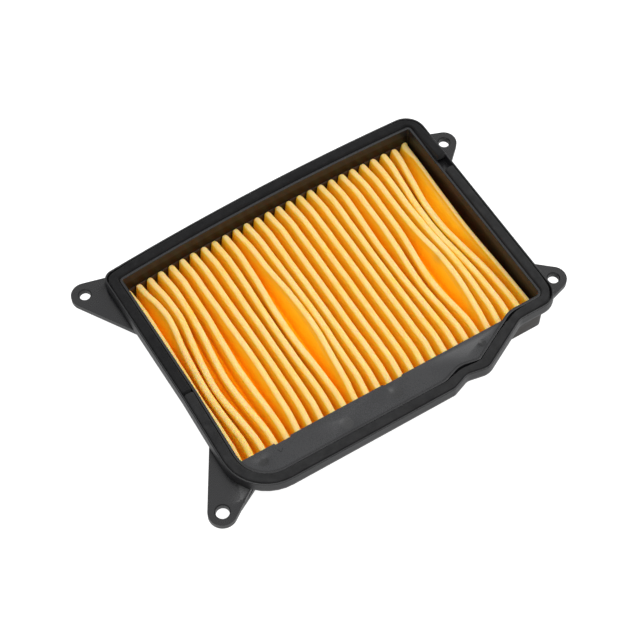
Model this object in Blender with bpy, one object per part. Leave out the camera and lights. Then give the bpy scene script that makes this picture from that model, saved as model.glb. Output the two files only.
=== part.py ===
"""Panel air filter for a motor scooter, modelled in Blender 4.5.

A moulded plastic frame with four screw ears carries a pleated paper pack. Two foam
strips lie in a channel round the top of the frame and seal it against the air box.

Units are metres and +Z is up, towards the dirty-air side. +X runs along the row of
pleats, +Y runs along each pleat towards the bowed back side. All sizes below are given
in a drawing frame whose Z = 0 is the top of the channel's outer lip. The last step moves
every sub-part so that the origin is the bottom centre of the whole object's box.
"""
import math

import bmesh
import bpy
from mathutils import Vector

MM = 0.001
GAP = 0.3 * MM                      # clearance between neighbouring solids
MITRE_GAP = 0.25 * MM               # how far each mitred end stands back from the corner

# Rim outline, outer face of the channel's outer lip
LEFT_X_BACK = -97.9 * MM
LEFT_X_MIDDLE = -97.0 * MM
LEFT_X_FRONT = -98.4 * MM
RIGHT_X = 102.5 * MM
FRONT_Y = -77.2 * MM
FRONT_Y_RIGHT = -60.4 * MM          # the front side steps back at its right end
BOW_RADIUS = 1490.0 * MM            # the back side is one shallow arc
BOW_APEX_X = 45.0 * MM
BOW_APEX_Y = 84.5 * MM
BOW_STEPS = 14
WAVE_START_X = 24.2 * MM            # the front side waves in and out before it steps back
WAVE_CREST = (34.0 * MM, -73.6 * MM)
STEP_START = (46.0 * MM, -76.0 * MM)
STEP_END_X = 76.0 * MM
LEFT_SEAM_Y = -9.3 * MM             # where the two foam strips butt on the left side
RIGHT_SEAM_Y = 46.5 * MM            # where they nearly meet on the right side
CORNER_STEPS = 7
BEND_STEPS = 4
SMALLEST_RADIUS = 0.8 * MM

# Channel section
LIP = 1.3 * MM                      # outer lip thickness
CHANNEL = 7.0 * MM                  # outer face of the rim to outer face of the inner lip
INNER_LIP = 1.6 * MM
OPENING_INSET = CHANNEL + INNER_LIP
LIP_DROP = 0.8 * MM                 # the inner lip is this much lower than the outer lip
GROOVE_DEPTH = 5.0 * MM
RIM_BOTTOM_Z = -6.5 * MM
EDGE = 0.3 * MM                     # small chamfer on the lips

# Pleat box below the rim
WALL = 1.6 * MM
BOX_TOP_Z = RIM_BOTTOM_Z - GAP
BOX_BOTTOM_Z = -25.8 * MM
LEDGE_DEPTH = 1.6 * MM
LEDGE_WIDTH = 5.1 * MM              # from the outer face of a wall to the ledge's edge
BOX_FRONT_Y = -55.0 * MM            # inner face of the front wall
BOX_BACK_LEFT_Y = 71.0 * MM         # about where the left wall meets the bowed back wall

# Shelf between the pleat box and the front channel
SHELF_TOP_Z = -1.1 * MM
SHELF_BOTTOM_Z = -2.7 * MM
SHELF_END_X = 69.0 * MM             # the shelf follows the inner lip's curve up to here
SHELF_CLEAR = 0.5 * MM              # the curve stops this far short of the shelf's back edge

# Screw ears
EAR_TOP_Z = RIM_BOTTOM_Z - GAP
EAR_BOTTOM_Z = EAR_TOP_Z - 3.3 * MM
EAR_ROOT_X_LEFT = -92.0 * MM        # the ears run in under the rim to the box walls
EAR_ROOT_X_RIGHT = 96.2 * MM
TIP_STEPS = 18
HOLE_STEPS = 28
# Each ear: name, centre of its hole, tip radius, hole radius, points of its root
EARS = (
    ("ear_back_left", (-109.3 * MM, 75.4 * MM), 7.4 * MM, 3.1 * MM,
     ((EAR_ROOT_X_LEFT, 33.6 * MM), (EAR_ROOT_X_LEFT, 78.6 * MM))),
    ("ear_front_left", (-109.3 * MM, -71.6 * MM), 7.5 * MM, 3.7 * MM,
     ((-86.0 * MM, -64.7 * MM), (EAR_ROOT_X_LEFT, -56.5 * MM), (EAR_ROOT_X_LEFT, -28.1 * MM))),
    ("ear_back_right", (108.4 * MM, 60.4 * MM), 7.1 * MM, 3.1 * MM,
     ((EAR_ROOT_X_RIGHT, 72.5 * MM), (EAR_ROOT_X_RIGHT, 39.3 * MM))),
    ("ear_front_right", (108.4 * MM, -45.0 * MM), 7.2 * MM, 3.1 * MM,
     ((EAR_ROOT_X_RIGHT, -24.7 * MM), (EAR_ROOT_X_RIGHT, -56.0 * MM))),
)

# Rib under the front left ear
GUSSET_INNER = (-87.6 * MM, -65.4 * MM)
GUSSET_OUTER = (-100.5 * MM, -73.6 * MM)
GUSSET_HALF_WIDTH = 0.8 * MM
GUSSET_DEPTH = 4.2 * MM             # at its inner end
GUSSET_TIP_DEPTH = 0.8 * MM

# Pleated paper
PLEATS = 27
PLEAT_PITCH = 6.87 * MM
FIRST_CREST_X = -87.3 * MM
CREST_Z = -11.9 * MM                # middle of the paper's thickness
VALLEY_Z = -23.2 * MM
CREST_HALF_WIDTH = 1.45 * MM        # the pleats are upright and finger-like
VALLEY_HALF_WIDTH = 1.3 * MM
FOLD_RISE = 1.2 * MM                # height of a fold's rounding
FOLD_STEPS = 4
PAPER = 0.5 * MM
BEAD = 0.8 * MM                     # glue thickness between the paper and the walls
BEAD_TOP_Z = -16.5 * MM

# Clean-side bars
BAR_WIDTH = 3.0 * MM
BAR_PLACES = (-29.0 * MM, 33.0 * MM)

# Foam strips
FOAM_SIDE_GAP = 0.35 * MM
FOAM_TOP_Z = 0.4 * MM
FOAM_BOTTOM_Z = -4.7 * MM
FOAM_ROUND = 0.5 * MM
FOAM_LIFT = 2.6 * MM                # the loose end stands proud of the rim
FOAM_LIFT_LENGTH = 26.0 * MM
LEFT_SEAM_GAP = 0.4 * MM
RIGHT_SEAM_GAP = 3.4 * MM

COLOURS = {
    "moulded_plastic": ((0.022, 0.022, 0.023, 1.0), 0.45),
    "filter_paper": ((0.85, 0.42, 0.07, 1.0), 0.8),
    "foam_dark": ((0.008, 0.008, 0.009, 1.0), 0.9),
    "foam_grey": ((0.016, 0.016, 0.017, 1.0), 0.9),
    "glue": ((0.05, 0.028, 0.012, 1.0), 0.5),
}


# ---------------------------------------------------------------- small helpers

def clear_scene():
    """Remove every object of the start-up scene."""
    for item in list(bpy.data.objects):
        bpy.data.objects.remove(item, do_unlink=True)


def make_material(name, node_name):
    """One Principled material for one sub-part."""
    colour, roughness = COLOURS[name]
    material = bpy.data.materials.new(node_name + "_material")
    material.use_nodes = True
    shader = material.node_tree.nodes["Principled BSDF"]
    shader.inputs["Base Color"].default_value = colour
    shader.inputs["Roughness"].default_value = roughness
    shader.inputs["Metallic"].default_value = 0.0
    return material


def finish_mesh(bm, name, material_name):
    """Turn a bmesh into a named object whose faces point outwards."""
    bmesh.ops.recalc_face_normals(bm, faces=bm.faces)
    mesh = bpy.data.meshes.new(name)
    bm.to_mesh(mesh)
    bm.free()
    item = bpy.data.objects.new(name, mesh)
    item.data.materials.append(make_material(material_name, name))
    bpy.context.collection.objects.link(item)
    return item


def left_of(direction):
    """The direction a quarter turn to the left, in plan."""
    return Vector((-direction.y, direction.x))


def bow_y(x):
    """Y of the rim's bowed back side at a given X."""
    across = x - BOW_APEX_X
    return BOW_APEX_Y - BOW_RADIUS + math.sqrt(BOW_RADIUS ** 2 - across ** 2)


# ---------------------------------------------------------------- rim outline

def rim_corners():
    """Corners of the rim outline, anticlockwise, as (point, radius, steps)."""
    corners = [
        (Vector((LEFT_X_BACK, bow_y(LEFT_X_BACK))), 6.0 * MM, CORNER_STEPS),
        (Vector((LEFT_X_MIDDLE, LEFT_SEAM_Y)), 0.0, 0),
        (Vector((LEFT_X_FRONT, FRONT_Y)), 26.0 * MM, 2 * CORNER_STEPS),
        (Vector((WAVE_START_X, FRONT_Y)), 4.0 * MM, BEND_STEPS),
        (Vector(WAVE_CREST), 6.0 * MM, BEND_STEPS),
        (Vector(STEP_START), 10.0 * MM, BEND_STEPS),
        (Vector((STEP_END_X, FRONT_Y_RIGHT)), 7.0 * MM, BEND_STEPS),
        (Vector((RIGHT_X, FRONT_Y_RIGHT)), 11.0 * MM, CORNER_STEPS),
        (Vector((RIGHT_X, RIGHT_SEAM_Y)), 0.0, 0),
        (Vector((RIGHT_X, bow_y(RIGHT_X))), 12.0 * MM, CORNER_STEPS),
    ]
    for step in range(1, BOW_STEPS):
        x = RIGHT_X + (LEFT_X_BACK - RIGHT_X) * step / BOW_STEPS
        corners.append((Vector((x, bow_y(x))), 0.0, 0))
    return corners


def fillet(point, before, after, radius, steps):
    """Points of the arc that rounds one corner between two unit directions."""
    turn = math.atan2(before.cross(after), before.dot(after))
    side = 1.0 if turn > 0.0 else -1.0
    tangent = radius * math.tan(abs(turn) / 2.0)
    centre = point - before * tangent + left_of(before) * side * radius
    spoke = -left_of(before) * side * radius
    points = []
    for step in range(steps + 1):
        angle = turn * step / steps
        cosine = math.cos(angle)
        sine = math.sin(angle)
        points.append(centre + Vector((spoke.x * cosine - spoke.y * sine,
                                       spoke.x * sine + spoke.y * cosine)))
    return points


def rim_outline(inset):
    """The rim outline moved inwards, with the same number of points for every inset."""
    corners = rim_corners()
    points = []
    for index, (point, radius, steps) in enumerate(corners):
        before = (point - corners[index - 1][0]).normalized()
        after = (corners[(index + 1) % len(corners)][0] - point).normalized()
        inwards = left_of(before) + left_of(after)
        moved = point + inwards * inset / (1.0 + before.dot(after))
        if steps == 0:
            points.append(moved)
            continue
        convex = before.cross(after) > 0.0
        new_radius = max(radius - inset, SMALLEST_RADIUS) if convex else radius + inset
        points.extend(fillet(moved, before, after, new_radius, steps))
    return points


def nearest_index(points, target):
    """Index of the outline point closest to a place."""
    return min(range(len(points)), key=lambda index: (points[index] - target).length)


# ---------------------------------------------------------------- builders

def loft_rings(bm, rings, closed_path):
    """Join rings of vertices into a tube, closing it on itself or with two end caps."""
    count = len(rings)
    width = len(rings[0])
    spans = count if closed_path else count - 1
    for row in range(spans):
        here = rings[row]
        there = rings[(row + 1) % count]
        for column in range(width):
            beside = (column + 1) % width
            bm.faces.new((here[column], here[beside], there[beside], there[column]))
    if not closed_path:
        bm.faces.new(rings[0])
        bm.faces.new(list(reversed(rings[-1])))


def extrude_plan(bm, outline, bottom, top):
    """A flat plate from a closed plan outline."""
    lower = [bm.verts.new((point.x, point.y, bottom)) for point in outline]
    face = bm.faces.new(lower)
    grown = bmesh.ops.extrude_face_region(bm, geom=[face])
    raised = [item for item in grown["geom"] if isinstance(item, bmesh.types.BMVert)]
    bmesh.ops.translate(bm, verts=raised, vec=(0.0, 0.0, top - bottom))


def end_direction(path, index):
    """Direction from one end of a path into the wall, square to its inward direction."""
    point, inwards = path[index]
    other_end = path[-1 if index == 0 else 0][0]
    along = left_of(inwards)
    return along if along.dot(other_end - point) > 0.0 else -along


def sweep_section(name, path, section, material_name, mitred=False):
    """Sweep a closed (inwards, height) section along plan points with inward directions.

    Mitred ends are cut at 45 degrees, so that four walls close a box like a picture frame.
    """
    bm = bmesh.new()
    rings = []
    for index, (point, inwards) in enumerate(path):
        at_end = mitred and index in (0, len(path) - 1)
        along = end_direction(path, index) if at_end else Vector((0.0, 0.0))
        ring = []
        for distance, height in section:
            place = point + inwards * distance + along * (distance + MITRE_GAP)
            ring.append(bm.verts.new((place.x, place.y, height)))
        rings.append(ring)
    loft_rings(bm, rings, closed_path=False)
    return finish_mesh(bm, name, material_name)


# ---------------------------------------------------------------- frame

def build_channel_rim():
    """The U-shaped channel that runs right round the top of the frame."""
    floor = -GROOVE_DEPTH
    section = (
        (0.0, RIM_BOTTOM_Z),
        (0.0, -EDGE),
        (EDGE, 0.0),
        (LIP - EDGE, 0.0),
        (LIP, -EDGE),
        (LIP, floor),
        (CHANNEL, floor),
        (CHANNEL, -LIP_DROP - EDGE),
        (CHANNEL + EDGE, -LIP_DROP),
        (OPENING_INSET - EDGE, -LIP_DROP),
        (OPENING_INSET, -LIP_DROP - EDGE),
        (OPENING_INSET, RIM_BOTTOM_Z),
    )
    bm = bmesh.new()
    columns = []
    for inset, height in section:
        outline = rim_outline(inset)
        columns.append([bm.verts.new((point.x, point.y, height)) for point in outline])
    rings = [list(ring) for ring in zip(*columns)]
    loft_rings(bm, rings, closed_path=True)
    return finish_mesh(bm, "channel_rim", "moulded_plastic")


def shelf_outline():
    """Plan outline of the shelf: the inner lip's curve, closed by the box's front edge."""
    lip_curve = rim_outline(OPENING_INSET + GAP)
    inside = [point for point in lip_curve
              if point.y < BOX_FRONT_Y - SHELF_CLEAR and point.x < SHELF_END_X]
    inside.sort(key=lambda point: point.x)
    left_end = Vector((inside[0].x, BOX_FRONT_Y))
    last = inside[-1]
    slope = (FRONT_Y_RIGHT - STEP_START[1]) / (STEP_END_X - STEP_START[0])
    right_end = Vector((last.x + (BOX_FRONT_Y - last.y) / slope, BOX_FRONT_Y))
    return left_end, inside, right_end


def build_front_shelf():
    """Flat shelf with a turned-down edge that meets the box's front wall."""
    left_end, curve, right_end = shelf_outline()
    fold_y = BOX_FRONT_Y - WALL
    bm = bmesh.new()
    curve = [point for point in curve if point.y < fold_y - GAP]
    fold_left = Vector((left_end.x, fold_y))
    last = curve[-1]
    fold_right = last + (right_end - last) * ((fold_y - last.y) / (BOX_FRONT_Y - last.y))
    low = {}
    for key, point in (("fold_left", fold_left), ("fold_right", fold_right),
                       ("left", left_end), ("right", right_end)):
        low[key] = bm.verts.new((point.x, point.y, SHELF_TOP_Z))
    edge = [bm.verts.new((point.x, point.y, SHELF_TOP_Z)) for point in curve]
    plate = bm.faces.new([low["fold_left"]] + edge + [low["fold_right"]])
    strip = bm.faces.new([low["fold_left"], low["fold_right"], low["right"], low["left"]])
    bmesh.ops.recalc_face_normals(bm, faces=[plate, strip])
    grown = bmesh.ops.extrude_face_region(bm, geom=[plate, strip])
    moved = [item for item in grown["geom"] if isinstance(item, bmesh.types.BMVert)]
    bmesh.ops.translate(bm, verts=moved, vec=(0.0, 0.0, SHELF_BOTTOM_Z - SHELF_TOP_Z))
    grown_faces = [item for item in grown["geom"] if isinstance(item, bmesh.types.BMFace)]
    fold = min(grown_faces, key=lambda face: face.calc_area())
    turned = bmesh.ops.extrude_face_region(bm, geom=[fold])
    moved = [item for item in turned["geom"] if isinstance(item, bmesh.types.BMVert)]
    bmesh.ops.delete(bm, geom=[fold], context="FACES")
    bmesh.ops.translate(bm, verts=moved, vec=(0.0, 0.0, RIM_BOTTOM_Z - SHELF_BOTTOM_Z))
    return finish_mesh(bm, "front_shelf", "moulded_plastic")


def wall_section():
    """Section of a box wall with the ledge that carries the paper."""
    return (
        (0.0, BOX_BOTTOM_Z),
        (LEDGE_WIDTH, BOX_BOTTOM_Z),
        (LEDGE_WIDTH, BOX_BOTTOM_Z + LEDGE_DEPTH),
        (WALL, BOX_BOTTOM_Z + LEDGE_DEPTH),
        (WALL, BOX_TOP_Z),
        (0.0, BOX_TOP_Z),
    )


def left_wall_x(y):
    """Outer face of the left box wall, which follows the slightly hollow left side."""
    if y > LEFT_SEAM_Y:
        share = (y - LEFT_SEAM_Y) / (bow_y(LEFT_X_BACK) - LEFT_SEAM_Y)
        return LEFT_X_MIDDLE + (LEFT_X_BACK - LEFT_X_MIDDLE) * share + CHANNEL
    share = (y - LEFT_SEAM_Y) / (FRONT_Y - LEFT_SEAM_Y)
    return LEFT_X_MIDDLE + (LEFT_X_FRONT - LEFT_X_MIDDLE) * share + CHANNEL


def straight_wall(start, end, inwards, middle=()):
    """Path of a wall: its plan points, each with the direction towards the paper."""
    return [(point, inwards) for point in (start, *middle, end)]


def build_box_walls():
    """Four walls of the pleat box, mitred at its corners."""
    right_x = RIGHT_X - CHANNEL
    front_y = BOX_FRONT_Y - WALL
    left_x = left_wall_x(BOX_BACK_LEFT_Y)
    front_left = Vector((left_wall_x(front_y), front_y))
    front_right = Vector((right_x, front_y))
    back_path = []
    for step in range(BOW_STEPS + 1):
        x = left_x + (right_x - left_x) * step / BOW_STEPS
        back_path.append((Vector((x, bow_y(x) - CHANNEL)), Vector((0.0, -1.0))))
    back_left = back_path[0][0]
    back_right = back_path[-1][0]
    left_middle = Vector((left_wall_x(LEFT_SEAM_Y), LEFT_SEAM_Y))
    walls = (
        ("box_wall_back", back_path),
        ("box_wall_left", straight_wall(front_left, back_left, Vector((1.0, 0.0)), (left_middle,))),
        ("box_wall_right", straight_wall(front_right, back_right, Vector((-1.0, 0.0)))),
        ("box_wall_front", straight_wall(front_left, front_right, Vector((0.0, 1.0)))),
    )
    for name, path in walls:
        sweep_section(name, path, wall_section(), "moulded_plastic", mitred=True)


def build_support_bars():
    """Two bars across the clean-air side that stop the paper sagging."""
    for side, x in zip(("left", "right"), BAR_PLACES):
        back = bow_y(x) - CHANNEL - LEDGE_WIDTH - 2.0 * GAP
        front = BOX_FRONT_Y - WALL + LEDGE_WIDTH + GAP
        half = BAR_WIDTH / 2.0
        outline = [Vector((x - half, front)), Vector((x + half, front)),
                   Vector((x + half, back)), Vector((x - half, back))]
        bm = bmesh.new()
        extrude_plan(bm, outline, BOX_BOTTOM_Z, BOX_BOTTOM_Z + LEDGE_DEPTH)
        finish_mesh(bm, "support_bar_" + side, "moulded_plastic")


def tangent_point(point, centre, radius, side):
    """Where a line from a point touches a circle, on the chosen side (1 left, -1 right)."""
    towards = centre - point
    distance = towards.length
    lean = math.acos(radius / distance)
    base = math.atan2(-towards.y, -towards.x)
    angle = base + side * lean
    return centre + Vector((math.cos(angle), math.sin(angle))) * radius


def ear_outline(root, centre, radius):
    """Root points joined to the round tip by two tangent lines, anticlockwise."""
    start = tangent_point(root[-1], centre, radius, 1.0)
    end = tangent_point(root[0], centre, radius, -1.0)
    first = math.atan2(start.y - centre.y, start.x - centre.x)
    last = math.atan2(end.y - centre.y, end.x - centre.x)
    while last < first:
        last += 2.0 * math.pi
    tip = []
    for step in range(TIP_STEPS + 1):
        angle = first + (last - first) * step / TIP_STEPS
        tip.append(centre + Vector((math.cos(angle), math.sin(angle))) * radius)
    return list(root) + tip


def build_ear(name, centre, radius, hole_radius, root):
    """A flat ear with a round tip and a screw hole."""
    outline = ear_outline(root, centre, radius)
    bm = bmesh.new()
    edges = []
    hole = []
    for step in range(HOLE_STEPS):
        angle = 2.0 * math.pi * step / HOLE_STEPS
        hole.append(centre + Vector((math.cos(angle), math.sin(angle))) * hole_radius)
    for loop in (outline, hole):
        verts = [bm.verts.new((point.x, point.y, EAR_BOTTOM_Z)) for point in loop]
        for index, vert in enumerate(verts):
            edges.append(bm.edges.new((verts[index - 1], vert)))
    filled = bmesh.ops.triangle_fill(bm, edges=edges, use_beauty=True)
    faces = [item for item in filled["geom"] if isinstance(item, bmesh.types.BMFace)]
    grown = bmesh.ops.extrude_face_region(bm, geom=faces)
    raised = [item for item in grown["geom"] if isinstance(item, bmesh.types.BMVert)]
    bmesh.ops.translate(bm, verts=raised, vec=(0.0, 0.0, EAR_TOP_Z - EAR_BOTTOM_Z))
    return finish_mesh(bm, name, "moulded_plastic")


def build_ears():
    """Two long ears on the left side and two short ones on the right."""
    for name, centre, radius, hole_radius, root in EARS:
        build_ear(name, Vector(centre), radius, hole_radius, [Vector(point) for point in root])


def build_gusset():
    """Rib under the front left ear, deepest where it meets the frame."""
    inner = Vector(GUSSET_INNER)
    outer = Vector(GUSSET_OUTER)
    along = (outer - inner).normalized()
    half = left_of(along) * GUSSET_HALF_WIDTH
    top = EAR_BOTTOM_Z - GAP
    deep = top - GUSSET_DEPTH
    shallow = top - GUSSET_TIP_DEPTH
    bm = bmesh.new()
    rings = []
    for side in (-1.0, 1.0):
        ring = []
        for point, height in ((inner, top), (outer, top), (outer, shallow), (inner, deep)):
            place = point + half * side
            ring.append(bm.verts.new((place.x, place.y, height)))
        rings.append(ring)
    loft_rings(bm, rings, closed_path=False)
    return finish_mesh(bm, "ear_gusset_front_left", "moulded_plastic")


# ---------------------------------------------------------------- paper and glue

def fold(centre_x, half_width, z, rise):
    """Points of one rounded fold from left to right; a valley has a negative rise."""
    points = []
    for step in range(FOLD_STEPS + 1):
        angle = math.pi * step / FOLD_STEPS
        points.append((centre_x - math.cos(angle) * half_width, z - rise + math.sin(angle) * rise))
    return points


def paper_line():
    """The folded line of the paper from left to right, as (x, z) points.

    The side walls cut the first and the last crest short.
    """
    clear = CHANNEL + WALL + 2.0 * GAP + BEAD + PAPER / 2.0
    left_x = left_wall_x(LEFT_SEAM_Y) - CHANNEL + clear
    right_x = RIGHT_X - clear
    line = [(left_x, VALLEY_Z)]
    for pleat in range(PLEATS):
        crest = FIRST_CREST_X + pleat * PLEAT_PITCH
        for x, z in fold(crest, CREST_HALF_WIDTH, CREST_Z, FOLD_RISE):
            line.append((min(max(x, left_x), right_x), z))
        if pleat < PLEATS - 1:
            line += fold(crest + PLEAT_PITCH / 2.0, VALLEY_HALF_WIDTH, VALLEY_Z, -FOLD_RISE)
    line.append((right_x, VALLEY_Z))
    return line


def thicken(line, thickness):
    """Closed section of a folded line: one side out, the other side back."""
    over = []
    under = []
    for index, (x, z) in enumerate(line):
        here = Vector((x, z))
        before = (here - Vector(line[index - 1])).normalized() if index > 0 else None
        after = (Vector(line[index + 1]) - here).normalized() if index < len(line) - 1 else None
        before = before or after
        after = after or before
        normal = (left_of(before) + left_of(after)) / (1.0 + before.dot(after))
        over.append(here + normal * thickness / 2.0)
        under.append(here - normal * thickness / 2.0)
    return over + list(reversed(under))


def build_paper():
    """The pleated paper pack, folded from one strip."""
    section = thicken(paper_line(), PAPER)
    front = BOX_FRONT_Y + 2.0 * GAP + BEAD
    bm = bmesh.new()
    near = [bm.verts.new((point.x, front, point.y)) for point in section]
    far = []
    for point in section:
        back = bow_y(point.x) - OPENING_INSET - 2.0 * GAP - BEAD
        far.append(bm.verts.new((point.x, back, point.y)))
    half = len(section) // 2
    for index in range(len(section)):
        beside = (index + 1) % len(section)
        bm.faces.new((near[index], near[beside], far[beside], far[index]))
    for index in range(half - 1):
        opposite = len(section) - 1 - index
        bm.faces.new((near[index], near[opposite], near[opposite - 1], near[index + 1]))
        bm.faces.new((far[index], far[index + 1], far[opposite - 1], far[opposite]))
    return finish_mesh(bm, "pleated_paper", "filter_paper")


def bead_section():
    """Section of a glue bead, measured inwards from the outer face of its wall."""
    near = WALL + GAP
    far = near + BEAD
    bottom = BOX_BOTTOM_Z + LEDGE_DEPTH + GAP
    return ((near, bottom), (far, bottom), (far, BEAD_TOP_Z), (near, BEAD_TOP_Z))


def build_glue():
    """Glue that bonds the four edges of the paper to the box walls."""
    right_x = RIGHT_X - CHANNEL
    front_y = BOX_FRONT_Y - WALL
    clear = WALL + BEAD + 2.0 * GAP
    start_x = left_wall_x(BOX_BACK_LEFT_Y) + clear
    end_x = right_x - clear
    back_path = []
    for step in range(BOW_STEPS + 1):
        x = start_x + (end_x - start_x) * step / BOW_STEPS
        back_path.append((Vector((x, bow_y(x) - CHANNEL)), Vector((0.0, -1.0))))
    sweep_section("glue_back", back_path, bead_section(), "glue")
    front_path = [(Vector((x, front_y)), Vector((0.0, 1.0))) for x in (start_x, end_x)]
    sweep_section("glue_front", front_path, bead_section(), "glue")
    front_end = front_y + WALL + GAP
    left_end = bow_y(start_x) - OPENING_INSET - GAP
    right_end = bow_y(end_x) - OPENING_INSET - GAP
    left_path = [(Vector((left_wall_x(y), y)), Vector((1.0, 0.0)))
                 for y in (front_end, LEFT_SEAM_Y, left_end)]
    sweep_section("glue_left", left_path, bead_section(), "glue")
    right_path = [(Vector((right_x, y)), Vector((-1.0, 0.0))) for y in (front_end, right_end)]
    sweep_section("glue_right", right_path, bead_section(), "glue")


# ---------------------------------------------------------------- foam seals

def foam_section():
    """Section of a foam strip with softened top edges, as (inset, height)."""
    outer = LIP + FOAM_SIDE_GAP
    inner = CHANNEL - FOAM_SIDE_GAP
    return (
        (outer, FOAM_BOTTOM_Z),
        (outer, FOAM_TOP_Z - FOAM_ROUND),
        (outer + FOAM_ROUND, FOAM_TOP_Z),
        (inner - FOAM_ROUND, FOAM_TOP_Z),
        (inner, FOAM_TOP_Z - FOAM_ROUND),
        (inner, FOAM_BOTTOM_Z),
    )


def shorten(path, start_trim, end_trim):
    """Trim the two ends of a polyline by moving its end points along the path."""
    trimmed = [point.copy() for point in path]
    trimmed[0] += (trimmed[1] - trimmed[0]).normalized() * start_trim
    trimmed[-1] += (trimmed[-2] - trimmed[-1]).normalized() * end_trim
    return trimmed


def lift_at(distance):
    """Height of the loose end above the groove, falling smoothly to nothing."""
    share = max(0.0, 1.0 - distance / FOAM_LIFT_LENGTH)
    return FOAM_LIFT * share * share * (3.0 - 2.0 * share)


def add_points(path, target, step_length, steps):
    """Insert evenly spaced points after the first point so that the end can lift smoothly."""
    direction = (path[target] - path[0]).normalized()
    extra = [path[0] + direction * step_length * step for step in range(1, steps)]
    return [path[0]] + extra + path[1:]


def build_foam(name, first, last, start_trim, end_trim, lifted, material_name):
    """One foam strip between two outline indices, going anticlockwise."""
    count = len(rim_outline(0.0))
    order = [(first + step) % count for step in range((last - first) % count + 1)]
    bm = bmesh.new()
    columns = []
    for inset, height in foam_section():
        outline = rim_outline(inset)
        path = shorten([outline[index] for index in order], start_trim, end_trim)
        if lifted:
            path = add_points(path, 1, FOAM_LIFT_LENGTH / 8.0, 7)
        travelled = 0.0
        column = []
        for index, point in enumerate(path):
            if index > 0:
                travelled += (point - path[index - 1]).length
            lift = lift_at(travelled) if lifted else 0.0
            column.append(bm.verts.new((point.x, point.y, height + lift)))
        columns.append(column)
    rings = [list(ring) for ring in zip(*columns)]
    loft_rings(bm, rings, closed_path=False)
    return finish_mesh(bm, name, material_name)


def build_foams():
    """A long strip round the back and a shorter one round the front."""
    outline = rim_outline(0.0)
    left_seam = nearest_index(outline, Vector((LEFT_X_MIDDLE, LEFT_SEAM_Y)))
    right_seam = nearest_index(outline, Vector((RIGHT_X, RIGHT_SEAM_Y)))
    build_foam("foam_strip_back", right_seam, left_seam, 0.0, LEFT_SEAM_GAP,
               True, "foam_dark")
    build_foam("foam_strip_front", left_seam, right_seam, 0.0, RIGHT_SEAM_GAP,
               False, "foam_grey")


# ---------------------------------------------------------------- assembly

def settle_on_origin():
    """Move every sub-part so that the origin is the bottom centre of the whole box."""
    items = list(bpy.context.collection.objects)
    places = [item.matrix_world @ vert.co for item in items for vert in item.data.vertices]
    low = Vector([min(place[axis] for place in places) for axis in range(3)])
    high = Vector([max(place[axis] for place in places) for axis in range(3)])
    shift = Vector((-(low.x + high.x) / 2.0, -(low.y + high.y) / 2.0, -low.z))
    for item in items:
        item.location = item.location + shift


def main():
    """Build the whole filter."""
    clear_scene()
    build_channel_rim()
    build_front_shelf()
    build_box_walls()
    build_support_bars()
    build_ears()
    build_gusset()
    build_paper()
    build_glue()
    build_foams()
    bpy.context.view_layer.update()
    settle_on_origin()


main()
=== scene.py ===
import math

import bmesh
import bpy
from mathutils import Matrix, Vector, noise


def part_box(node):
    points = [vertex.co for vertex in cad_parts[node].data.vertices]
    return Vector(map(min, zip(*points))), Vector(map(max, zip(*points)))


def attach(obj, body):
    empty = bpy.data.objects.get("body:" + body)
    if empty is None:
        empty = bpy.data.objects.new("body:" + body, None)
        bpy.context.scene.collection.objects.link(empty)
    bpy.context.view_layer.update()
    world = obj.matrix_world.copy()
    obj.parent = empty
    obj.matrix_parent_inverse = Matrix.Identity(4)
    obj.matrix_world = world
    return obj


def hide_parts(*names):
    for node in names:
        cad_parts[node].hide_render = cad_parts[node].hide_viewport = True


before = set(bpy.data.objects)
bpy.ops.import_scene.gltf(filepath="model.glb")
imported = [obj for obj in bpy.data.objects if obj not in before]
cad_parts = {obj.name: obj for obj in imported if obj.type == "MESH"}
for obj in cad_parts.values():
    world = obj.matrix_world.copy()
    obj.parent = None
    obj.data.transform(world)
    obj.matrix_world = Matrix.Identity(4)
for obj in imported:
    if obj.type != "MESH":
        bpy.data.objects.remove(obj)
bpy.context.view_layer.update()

MM = 0.001

# Rim outline, as in the CAD
LEFT_X_BACK = -97.9
LEFT_X_MIDDLE = -97.0
LEFT_X_FRONT = -98.4
RIGHT_X = 102.5
FRONT_Y = -77.2
FRONT_Y_RIGHT = -60.4
BOW_RADIUS = 1490.0
BOW_APEX = (45.0, 84.5)
BOW_STEPS = 14
LEFT_SEAM_Y = -9.3
RIGHT_SEAM_Y = 46.5
OUTLINE_STEP = 3.0                  # longest piece of a straight run
SMALLEST_RADIUS = 0.8

# Channel section
LIP = 1.3
CHANNEL = 7.0
INNER_LIP = 1.6
OPENING_INSET = CHANNEL + INNER_LIP
LIP_DROP = 0.8
GROOVE_DEPTH = 5.0
RIM_BOTTOM_Z = -6.5

# Pleat box, shelf and ears
WALL = 1.6
BOX_BOTTOM_Z = -25.8
LEDGE_DEPTH = 1.6
LEDGE_WIDTH = 5.1
BOX_FRONT_Y = -55.0                 # inner face of the front wall
SHELF_TOP_Z = -1.1
SHELF_THICKNESS = 1.6
SHELF_END_X = 72.0
APRON_SETBACK = 1.1                 # the apron under the shelf stands back from its edge
EAR_TOP_Z = RIM_BOTTOM_Z + 0.05
EAR_BOTTOM_Z = -10.1
HOLE_CHAMFER = 0.55
HOLE_DRAFT = 0.12                   # each hole narrows this much towards the underside

# Paper pack
PLEATS = 27
PLEAT_PITCH = 6.87
FIRST_CREST_X = -87.75
CREST_TOP_Z = -11.7
VALLEY_BOTTOM_Z = -23.6
CREST_HALF_WIDTH = 1.85
PAPER = 0.5
PAPER_FRONT_Y = -53.6
PAPER_ROWS = 44

# Foam strips
FOAM_TOP_Z = 0.35
FOAM_BOTTOM_Z = -4.9
FOAM_SIDE_GAP = 0.3
FOAM_LIFT = 2.6
FOAM_LIFT_LENGTH = 26.0

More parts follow.
